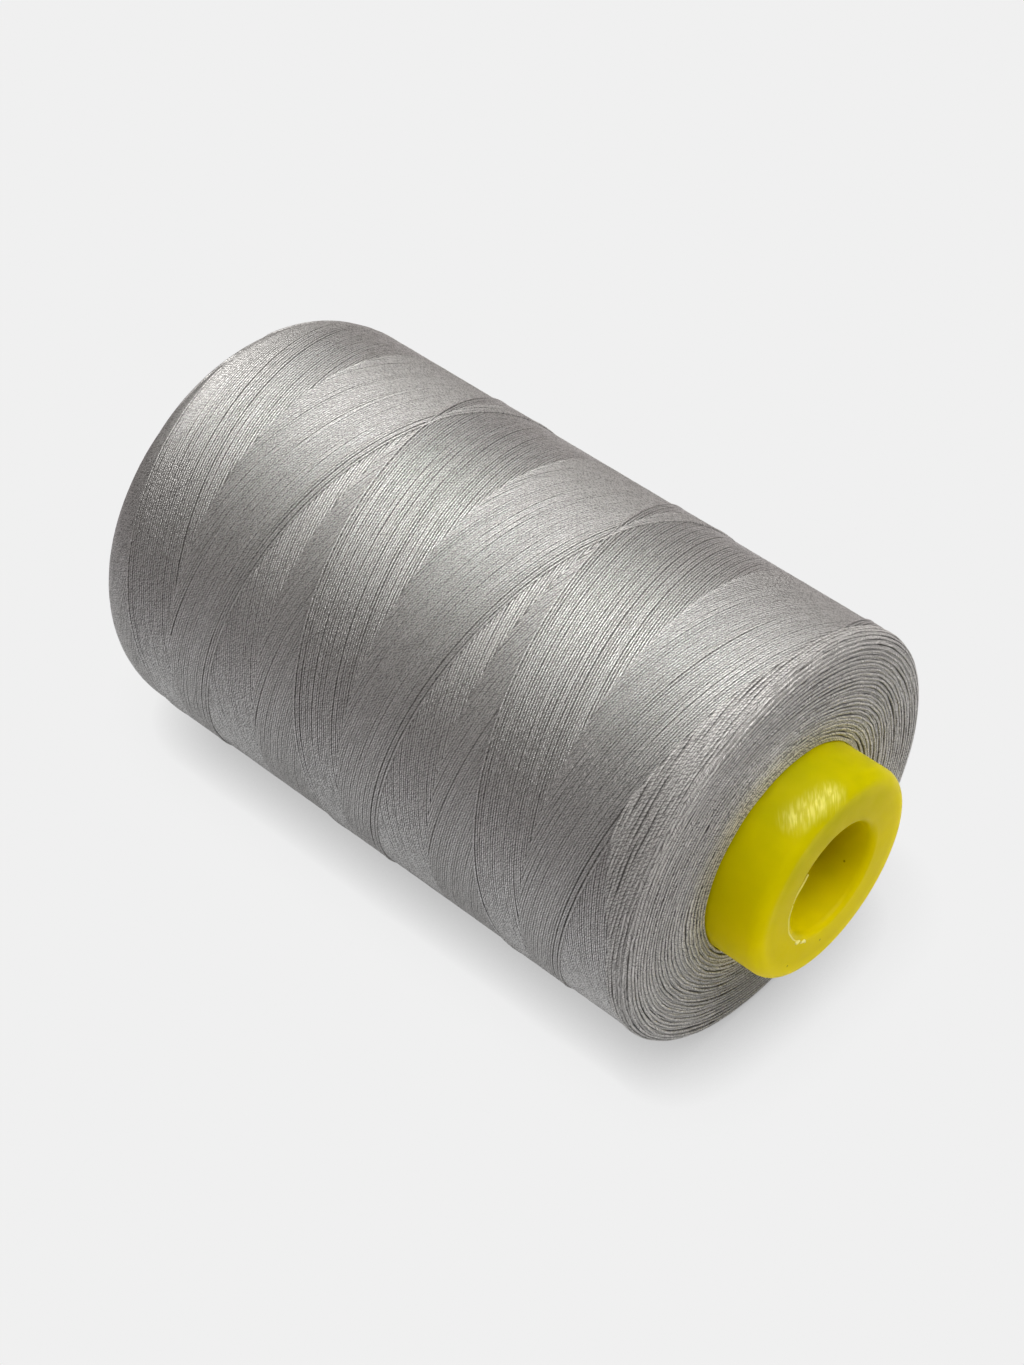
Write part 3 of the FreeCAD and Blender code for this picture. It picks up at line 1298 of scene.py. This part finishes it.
@dataclass
class EndTurns(StrandSet):
    """Turns in which the strokes run back at one end, from the core over the face and the shoulder.

    The turns form one long spiral. Where they lie over the side they are cut short by the
    strokes, which cover them again. A wave of the shared sway is given as its share of the
    sway, its count round the spool, its change with the reach, and its phase.
    """

    outline: EndOutline | None = None
    diameter: float = 0.42 * MM
    spacing: float = 0.60 * MM
    offset: float = 0.0
    lift: float = 0.0
    lift_spread: float = 0.03 * MM
    sway: float = 0.30 * MM
    wave: float = 0.060 * MM
    cross: float = 0.08 * MM
    most_cover: float = 5.6 * MM
    side_sink: float = 0.07 * MM
    side_sink_start: float = 0.3
    side_sink_length: float = 2.0 * MM
    dive: float = 0.30 * MM
    dive_start: float = 0.3 * MM
    dive_length: float = 0.9 * MM
    sway_waves: tuple[tuple[float, int, float, float], ...] = ((1.0, 2, 260.0, 0.0), (0.55, 5, -410.0, 1.0))
    sway_grown: float = 4.0 * MM
    sway_gone: float = 3.0 * MM
    least_reach: float = 0.35
    joint_overlap: float = 0.004
    least_steps: float = 3.0
    start_angle: float = -math.pi / 2

    def __post_init__(self) -> None:
        """Chooses each turn's small waves."""
        dice = random.Random(self.seed)
        over_side = min(self.most_cover, self.outline.least_cover + self.most_cover)
        length = self.outline.length_to_side + over_side
        self.turns = [TurnWaves.drawn(dice) for _ in range(int((length - self.first_reach) / self.spacing))]

    @property
    def first_reach(self) -> float:
        """Distance of the first turn's crest from the core, which holds it back to its own side."""
        return 0.5 * self.diameter + self.offset - self.spacing

    def lanes(self) -> range:
        """Numbers of the turns, from the core to the side."""
        return range(len(self.turns))

    def past_cover(self, reach: float, angle: float) -> float:
        """How far a place lies under the strokes that cover the turns again."""
        return reach - self.outline.length_to_side - self.outline.cover(angle)

    def stretches(self, lane: int) -> list[tuple[float, float]]:
        """Where a turn shows; it joins the next one where it ends.

        Args:
            lane: Number of the turn.

        Returns:
            Pairs of running angles between which it shows.
        """
        begin = self.start_angle + lane * TURN
        steps = round(TURN / self.step)
        found = []
        begun = None
        for index in range(steps + 1):
            angle = begin + index * TURN / steps
            if self.past_cover(self.plain_reach(angle), angle) < self.dive_length:
                begun = angle if begun is None else begun
                last = angle
            elif begun is not None:
                found.append((begun, last))
                begun = None
        if begun is not None:
            found.append((begun, last + self.joint_overlap))
        return [(start, end) for start, end in found if end - start > self.least_steps * self.step]

    def plain_reach(self, angle: float) -> float:
        """Reach of the spiral at a running angle, before its waves."""
        return self.first_reach + self.spacing * (angle - self.start_angle) / TURN

    def shared_sway(self, reach: float, angle: float) -> float:
        """Slow sideways wander that neighbouring turns share.

        Args:
            reach: Distance along the outline from the core.
            angle: Running angle.

        Returns:
            Distance along the outline.
        """
        slow = 0.0
        for share, count, change, phase in self.sway_waves:
            slow += share * math.sin(count * angle + change * reach + phase)
        return self.sway * slow

    def crest(self, lane: int, angle: float) -> Crest:
        """Where a turn's top line is.

        Args:
            lane: Number of the turn.
            angle: Running angle.

        Returns:
            The crest at that angle.
        """
        plain = self.plain_reach(angle)
        share = (angle - self.start_angle) / TURN - lane
        waves = self.turns[lane].at(share)
        past_face = (plain - self.outline.face_length) / self.sway_gone
        on_face = smooth(plain / self.sway_grown) * (1 - smooth(past_face))
        reach = plain + on_face * self.shared_sway(plain, angle)
        reach += self.wave * waves + self.cross * self.turns[lane].slow(share)
        lift = self.lift + self.lift_spread * self.turns[lane].height(share)
        past_shoulder = (reach - self.outline.length_to_side) / self.side_sink_length
        lift -= self.side_sink * smooth(past_shoulder + self.side_sink_start)
        lift -= self.dive * smooth((self.past_cover(plain, angle) + self.dive_start) / self.dive_length)
        depth, radius, tilt = self.outline.at(max(reach, self.least_reach * self.diameter))
        return Crest(depth - lift * math.sin(tilt), radius + lift * math.cos(tilt), tilt, angle * radius)


@dataclass
class WoundPackage:
    """All the thread: what is packed underneath, the strokes on the side and both ends."""

    sizes: SpoolSizes
    near_slope: float = 0.5 * MM
    near_shoulder: float = 2.0 * MM
    far_shoulder_length: float = 9.3 * MM
    far_shoulder_drop: float = 8.2 * MM
    packed_depth: float = 0.42 * MM
    packed_steps: int = 160
    outline_step: float = 0.7 * MM

    def outlines(self) -> tuple[EndOutline, EndOutline]:
        """Outlines of both ends, which the CAD model has too.

        Returns:
            The near and the far end's outline.
        """
        near = EndOutline(
            self.sizes,
            End.NEAR,
            self.near_slope,
            self.near_shoulder,
            self.near_shoulder,
            least_cover=0.9 * MM,
            cover_rise=5.0 * MM,
            cover_fall=9.2 * MM,
        )
        far = EndOutline(
            self.sizes,
            End.FAR,
            0.0,
            self.far_shoulder_length,
            self.far_shoulder_drop,
            least_cover=-11.8 * MM,
        )
        return near, far

    def packed_profile(self) -> list[Vector]:
        """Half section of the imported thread, a little under the strands that cover it.

        Returns:
            Its corners, from the core at the near end to the core at the far end.
        """
        profile = []
        for outline, backwards in zip(self.outlines(), (False, True)):
            count = round(outline.length_to_side / self.outline_step)
            points = []
            for index in range(count + 1):
                depth, radius, tilt = outline.at(outline.length_to_side * index / count)
                depth += self.packed_depth * math.sin(tilt)
                radius -= self.packed_depth * math.cos(tilt)
                points.append(self.sizes.place(depth, radius, math.pi / 2))
            profile += reversed(points) if backwards else points
        return profile

    def packed_thread(self) -> bpy.types.Object:
        """Builds the thread under the strands.

        Returns:
            One closed body round the core.
        """
        shape = turned_shape(self.packed_profile(), self.sizes.axis_height, self.packed_steps)
        bmesh.ops.recalc_face_normals(shape, faces=shape.faces)
        return finished_object("packed_thread", shape, PackedThreadShadeFinish().material())

    def outward_thread(self) -> bpy.types.Material:
        """Finish of the outward strokes.

        Returns:
            The new material.
        """
        finish = ThreadFinish(
            name="spun_polyester_outward_strokes",
            colour=(0.330, 0.307, 0.292, 1.0),
            roughness=0.475,
            edge_shade=0.42,
        )
        return finish.material(self.sizes)

    def return_thread(self) -> bpy.types.Material:
        """Finish of the return strokes, whose edges get less painted shade.

        Returns:
            The new material.
        """
        finish = ThreadFinish(
            name="spun_polyester_return_strokes",
            colour=(0.320, 0.300, 0.288, 1.0),
            specular=0.83,
            edge_shade=0.25,
            tone_spread=0.05,
        )
        return finish.material(self.sizes)

    def end_thread(self) -> bpy.types.Material:
        """Finish of the near end's turns, which lie apart with dark gaps between them, deepened by strong
        painted edge shade.

        Returns:
            The new material.
        """
        finish = ThreadFinish(
            name="spun_polyester_end_turns",
            colour=(0.56, 0.543, 0.530, 1.0),
            groove_shade_colour=(0.075, 0.069, 0.066, 1.0),
            roughness=0.56,
            specular=0.50,
            groove_specular=0.18,
            edge_shade=0.76,
            ply_length=0.60 * MM,
            ply_depth=0.030 * MM,
            ply_wander=1.8,
            tone_spread=0.12,
        )
        return finish.material(self.sizes)

    def side_strokes(self, part: int) -> tuple[SideStrokes, SideStrokes]:
        """Half of the strokes on the side.

        Args:
            part: 0 for the first and every second stroke after it, 1 for those between.

        Returns:
            The outward and the return strokes.
        """
        near, far = self.outlines()
        outward = SideStrokes(
            self.sizes,
            near=near,
            far=far,
            seed=11,
            stroke=Stroke.OUTWARD,
            diameter=0.325 * MM,
            spacing=0.36 * MM,
            first_lane=part,
            every=2,
        )
        back = SideStrokes(
            self.sizes,
            near=near,
            far=far,
            seed=23,
            stroke=Stroke.RETURN,
            diameter=0.352 * MM,
            lift_spread=0.004 * MM,
            gap_share=0.018,
            seam_depth=outward.other_seam_depth,
            other_seam_depth=outward.seam_depth,
            seam_rise=0.08 * MM,
            seam_gap=0.12 * MM,
            first_lane=part,
            every=2,
        )
        return outward, back

    def end_turns(self, outline: EndOutline, seed: int) -> tuple[EndTurns, EndTurns]:
        """Both layers of turns at one end.

        Args:
            outline: Outline of the end.
            seed: Start of its random draws.

        Returns:
            The top layer, and the one that fills the gaps under it.
        """
        step = math.radians(2.5)
        top = EndTurns(self.sizes, outline=outline, seed=seed, step=step)
        under = EndTurns(
            self.sizes, outline=outline, seed=seed + 6, step=step, offset=0.30 * MM, lift=-0.155 * MM
        )
        return top, under

    def build(self) -> None:
        """Builds every piece of the winding."""
        outward_thread = self.outward_thread()
        return_thread = self.return_thread()
        end_thread = self.end_thread()
        hand_over(self.packed_thread(), ("wound_thread",))
        sets: dict[str, tuple[StrandSet, bpy.types.Material]] = {}
        for part, label in enumerate(("first", "second")):
            outward, back = self.side_strokes(part)
            sets[f"outward_strokes_{label}"] = (outward, outward_thread)
            sets[f"return_strokes_{label}"] = (back, return_thread)
        near, far = self.outlines()
        ends = ((near, "near", 31, end_thread), (far, "far", 41, return_thread))
        for outline, label, seed, thread in ends:
            top, under = self.end_turns(outline, seed)
            sets[f"{label}_turns_top"] = (top, thread)
            sets[f"{label}_turns_under"] = (under, thread)
        for name, (strands, thread) in sets.items():
            piece = finished_object(name, strands.shape(), thread)
            replaced = ("outer_thread_turns",) if name == "outward_strokes_first" else ()
            hand_over(piece, replaced)


@dataclass
class RimBead(StrandSet):
    """Thin raised line of plastic on the rim of the bore, where the mould closed or the gate was.

    Its spans are in degrees round the bore.
    """

    diameter: float = 0.24 * MM
    step: float = math.radians(1.5)
    rim: float = 8.05 * MM
    reach: float = 0.08 * MM
    growth: float = 0.85 * MM
    proud: float = 0.07 * MM
    spans: tuple[tuple[float, float], ...] = ((134, 162), (164, 228))
    grown_from: float = math.radians(120)
    grown_to: float = math.radians(182)
    wobble: float = 0.03 * MM
    waves: float = 17.0

    def lanes(self) -> range:
        """Numbers of the raised lines."""
        return range(len(self.spans))

    def stretches(self, lane: int) -> list[tuple[float, float]]:
        """Start and end angle of a raised line."""
        start, end = self.spans[lane]
        return [(math.radians(start), math.radians(end))]

    def crest(self, lane: int, angle: float) -> Crest:
        """Where a raised line is; its top stands a little proud of the end face.

        Args:
            lane: Number of the line.
            angle: Angle round the bore.

        Returns:
            The crest at that angle.
        """
        grown = smooth((angle - self.grown_from) / (self.grown_to - self.grown_from))
        radius = self.rim + self.reach + self.growth * grown
        radius += self.wobble * math.sin(self.waves * angle)
        depth = self.wobble * math.sin(0.7 * self.waves * angle) - self.proud
        return Crest(depth, radius, math.pi / 2, angle * radius)


@dataclass
class MouldedCore:
    """The yellow core: outer wall, closed and rounded +X end, bore tube, and ribs at the open end.

    Specks, and the polished places that also hold the painted highlight marks, are given as depth and radius
    in millimetres and an angle in degrees.
    """

    sizes: SpoolSizes
    wall: float = 1.5 * MM
    end_rounding: float = 1.9 * MM
    base_rounding: float = 0.6 * MM
    bore_radius: float = 8.05 * MM
    bore_wall: float = 1.2 * MM
    lip_rounding: float = 1.0 * MM
    end_wall: float = 3.0 * MM
    rib_count: int = 6
    rib_thickness: float = 1.0 * MM
    rib_setback: float = 0.8 * MM
    steps: int = 192
    rounding_steps: int = 10
    sharp_angle: float = math.radians(35)
    specks: tuple[tuple[float, float, float], ...] = (
        (3.0, 8.05, 325.5),
        (0.0, 12.6, 229.5),
        (0.0, 10.6, 262.0),
    )
    speck_size: float = 0.22 * MM
    # Polished places, which also hold the painted highlight marks, set where the key light's streak falls.
    polished_highlight_spots: tuple[tuple[float, float, float], ...] = (
        (1.5, 15.1, 92.0),
        (2.0, 15.2, 99.0),
        (2.5, 15.2, 106.0),
        (3.0, 15.2, 112.0),
    )
    polished_size: float = 2.7 * MM

    def rounded(
        self, depth: float, radius: float, rounding: float, start: float, end: float
    ) -> list[Vector]:
        """Points of a rounding in the half section.

        Args:
            depth: Depth of the rounding's centre.
            radius: Its centre's distance from the axis.
            rounding: Its radius.
            start: Start angle in degrees, from the direction of the +X end.
            end: End angle in degrees.

        Returns:
            The points, from start to end.
        """
        points = []
        for index in range(self.rounding_steps + 1):
            turn = math.radians(start + (end - start) * index / self.rounding_steps)
            at_depth = depth - rounding * math.cos(turn)
            points.append(self.sizes.place(at_depth, radius + rounding * math.sin(turn), math.pi / 2))
        return points

    def half_section(self) -> list[Vector]:
        """Closed half section of the core, round the bore tube, the end and the outer wall.

        Returns:
            Its corners, from the bore's open end.
        """
        s = self.sizes
        length, outer = s.core_length, s.core_radius
        lip, end, base = self.lip_rounding, self.end_rounding, self.base_rounding
        inside = outer - self.wall
        tube = self.bore_radius + self.bore_wall
        points = [s.place(length, self.bore_radius, math.pi / 2)]
        points += self.rounded(lip, self.bore_radius + lip, lip, -90, 0)
        points += self.rounded(end, outer - end, end, 0, 90)
        points += self.rounded(length - base, outer - base, base, 90, 180)
        points.append(s.place(length, inside, math.pi / 2))
        points.append(s.place(self.end_wall, inside, math.pi / 2))
        points.append(s.place(self.end_wall, tube, math.pi / 2))
        points.append(s.place(length, tube, math.pi / 2))
        return points

    def add_rib(self, shape: bmesh.types.BMesh, index: int) -> None:
        """Adds one web between the bore tube and the outer wall.

        Args:
            shape: The core's geometry.
            index: Number of the web.
        """
        s = self.sizes
        inner = self.bore_radius + self.bore_wall / 2
        outer = s.core_radius - self.wall / 2
        length = s.core_length - self.rib_setback - self.end_wall / 2
        size = Matrix.Diagonal((length, outer - inner, self.rib_thickness, 1.0))
        middle = Matrix.Translation((-length / 2 + s.core_end - self.end_wall / 2, (inner + outer) / 2, 0))
        turn = Matrix.Rotation(index * TURN / self.rib_count, 4, "X")
        lift = Matrix.Translation((0, 0, s.axis_height))
        bmesh.ops.create_cube(shape, size=1.0, matrix=lift @ turn @ middle @ size)

    def places(self, spots: Iterable[tuple[float, float, float]]) -> tuple[Vector, ...]:
        """Places of the core's specks or polished spots."""
        return tuple(self.sizes.place(d * MM, r * MM, math.radians(a)) for d, r, a in spots)

    def moulding(self) -> bpy.types.Object:
        """Builds the moulding with its ribs.

        Returns:
            The core itself.
        """
        shape = turned_shape(self.half_section(), self.sizes.axis_height, self.steps)
        for index in range(self.rib_count):
            self.add_rib(shape, index)
        bmesh.ops.recalc_face_normals(shape, faces=shape.faces)
        places = CorePlaces(
            specks=self.places(self.specks),
            speck_size=self.speck_size,
            polished_highlight_spots=self.places(self.polished_highlight_spots),
            polished_size=self.polished_size,
            axis_height=self.sizes.axis_height,
            bore_radius=self.bore_radius,
            core_radius=self.sizes.core_radius,
        )
        core = finished_object("core_moulding", shape, CorePlasticFinish().material(places))
        core.data.set_sharp_from_angle(angle=self.sharp_angle)
        return core

    def flash_line(self) -> bpy.types.Object:
        """Builds the thin flash along the rim of the bore, coloured pale as a painted highlight on its
        crest.

        Returns:
            The raised line.
        """
        flash = RimBead(self.sizes, rim=self.bore_radius)
        plastic = GlintPaintedPlasticFinish(colour=(0.84, 0.77, 0.16, 1.0)).material()
        return finished_object("core_flash_line", flash.shape(), plastic)

    def gate_mark(self) -> bpy.types.Object:
        """Builds the rough mark where the gate was torn off, coloured pale as a painted glint.

        Returns:
            The mark's two short ridges.
        """
        gate = RimBead(
            self.sizes,
            diameter=0.42 * MM,
            rim=self.bore_radius + self.lip_rounding,
            reach=0.05 * MM,
            growth=0.0,
            proud=0.12 * MM,
            spans=((221, 233), (231, 243)),
            wobble=0.16 * MM,
            waves=41.0,
        )
        return finished_object("core_gate_mark", gate.shape(), GlintPaintedPlasticFinish().material())

    def build(self) -> None:
        """Builds the core and the two marks that its mould left."""
        hand_over(self.moulding(), ("moulded_core",))
        hand_over(self.flash_line())
        hand_over(self.gate_mark())


@dataclass
class Studio:
    """Pale floor, soft light and the camera at the photograph's viewing angle."""

    sizes: SpoolSizes
    floor_half: float = 3.0
    world_light: float = 0.046
    key_direction: tuple[float, float, float] = (0.334, 0.21, 0.919)
    key_strength: float = 2.85
    second_direction: tuple[float, float, float] = (-0.35, 0.20, 0.915)
    second_strength: float = 1.0
    window_width: float = math.radians(48)
    window_colour: tuple[float, float, float] = (1.0, 0.978, 0.943)
    view_azimuth: float = math.radians(42.38)
    view_elevation: float = math.radians(45.89)
    camera_from_face: tuple[float, float, float] = (123.6 * MM, -194.8 * MM, 269.6 * MM)
    lens: float = 74.61
    sensor_width: float = 36.0
    nearest: float = 0.01

    def floor(self) -> None:
        """Floor that the spool lies on."""
        shape = bmesh.new()
        bmesh.ops.create_grid(shape, x_segments=2, y_segments=2, size=self.floor_half)
        floor = finished_object("studio_floor", shape, FloorFinish().material())

    def sky(self) -> None:
        """Dim even light of the room, which the camera sees as pale as the floor."""
        world = bpy.data.worlds.new("room_light")
        world.use_nodes = True
        tree = world.node_tree
        path = tree.nodes.new("ShaderNodeLightPath")
        strength = tree.nodes.new("ShaderNodeMapRange")
        strength.inputs["To Min"].default_value = self.world_light
        tree.links.new(path.outputs["Is Camera Ray"], strength.inputs["Value"])
        background = tree.nodes["Background"]
        background.inputs["Color"].default_value = FloorFinish.colour
        tree.links.new(strength.outputs["Result"], background.inputs["Strength"])
        bpy.context.scene.world = world

    def lamp(self, name: str, direction: tuple[float, float, float], strength: float) -> None:
        """Adds a far, wide lamp, whose light is even over the whole floor.

        Args:
            name: Name of the lamp.
            direction: Direction from the spool to the lamp.
            strength: Light on a surface that faces it.
        """
        light = bpy.data.lights.new(name, "SUN")
        light.energy = strength
        light.angle = self.window_width
        light.color = self.window_colour
        lamp = bpy.data.objects.new(name, light)
        lamp.rotation_mode = "QUATERNION"
        lamp.rotation_quaternion = Vector(direction).to_track_quat("Z", "Y")
        bpy.context.scene.collection.objects.link(lamp)

    def camera(self) -> None:
        """Camera at the place that the photograph was taken from."""
        lens = bpy.data.cameras.new("photo_camera")
        lens.sensor_width = self.sensor_width
        lens.lens = self.lens
        lens.clip_start = self.nearest
        camera = bpy.data.objects.new("photo_camera", lens)
        face = self.sizes.place(0.0, 0.0, 0.0)
        back = Vector((
            math.sin(self.view_azimuth) * math.cos(self.view_elevation),
            -math.cos(self.view_azimuth) * math.cos(self.view_elevation),
            math.sin(self.view_elevation),
        ))
        camera.location = face + Vector(self.camera_from_face)
        camera.rotation_mode = "QUATERNION"
        camera.rotation_quaternion = (-back).to_track_quat("-Z", "Y")
        bpy.context.scene.collection.objects.link(camera)
        bpy.context.scene.camera = camera

    def build(self) -> None:
        """Sets up the floor, the lights and the camera."""
        self.floor()
        self.sky()
        self.lamp("key_window", self.key_direction, self.key_strength)
        self.lamp("second_window", self.second_direction, self.second_strength)
        self.camera()
        bpy.context.scene.view_settings.view_transform = "Standard"


def main() -> None:
    """Builds the spool's pieces in order, then the studio round them."""
    logging.basicConfig(level=logging.INFO, format="%(message)s")
    sizes = SpoolSizes.from_frame()
    MouldedCore(sizes).build()
    WoundPackage(sizes).build()
    Studio(sizes).build()


if __name__ == "__main__":
    main()
